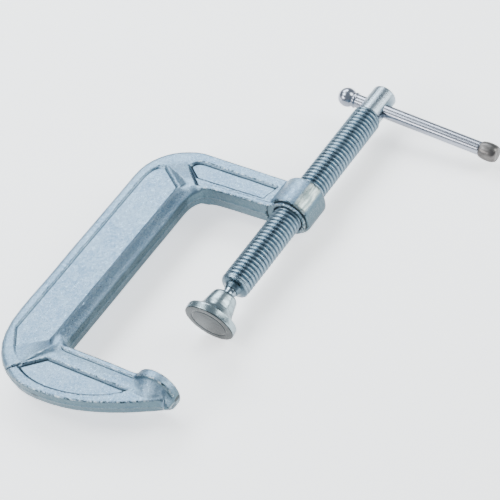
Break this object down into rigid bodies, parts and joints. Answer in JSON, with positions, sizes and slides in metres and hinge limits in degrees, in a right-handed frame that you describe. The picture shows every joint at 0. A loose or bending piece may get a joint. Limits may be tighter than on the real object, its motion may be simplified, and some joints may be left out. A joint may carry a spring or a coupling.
{
  "type": "c clamp",
  "caption": "Cast C-shaped frame with a threaded screw through its boss, a sliding turning bar and a swivel pad that presses work onto a fixed anvil.",
  "frame": {"origin": "centre of the anvil's flat contact face", "axes": "+Y along the screw from the anvil to the handle, +X from the spine to the open side, +Z through the frame's thickness; the clamp lies on its side"},
  "size_m": [0.1328, 0.2002, 0.0223],
  "materials": {
    "cast_frame": "zinc-plated casting, satin with a fine orange-peel grain",
    "screw": "zinc-plated rolled thread, bright crests and darker flanks",
    "stud": "bright zinc-plated steel",
    "pad": "zinc-plated turned steel",
    "bar": "polished drawn steel",
    "cap": "dull bare steel"
  },
  "bodies": {
    "frame": {"frame": "cast_frame"},
    "swivel_stud": {"swivel_stud": "stud"},
    "spindle": {"spindle": "screw"},
    "swivel_pad": {"swivel_pad": "pad"},
    "tommy_bar": {"tommy_bar": "bar", "bar_end_cap": "cap"}
  },
  "joints": [
    {"name": "screw_travel", "type": "slide", "parent": "frame", "child": "swivel_stud", "axis": [0, 1, 0], "range_m": [-0.0338, 0.0398]},
    {"name": "screw_turn", "type": "hinge", "parent": "swivel_stud", "child": "spindle", "pos_m": [0, 0.0575, 0], "axis": [0, 1, 0], "range_deg": [-6228, 7334]},
    {"name": "pad_swivel", "type": "hinge", "parent": "swivel_stud", "child": "swivel_pad", "pos_m": [0, 0.0462, 0], "axis": [1, 0, 0], "range_deg": [-22, 2]},
    {"name": "bar_slide", "type": "slide", "parent": "spindle", "child": "tommy_bar", "axis": [0.9942, 0, -0.1077], "range_m": [-0.0448, 0.0032]}
  ],
  "couplings": [
    {"joint": "screw_turn", "follows": "screw_travel", "rad_per_m": 3215.8}
  ]
}
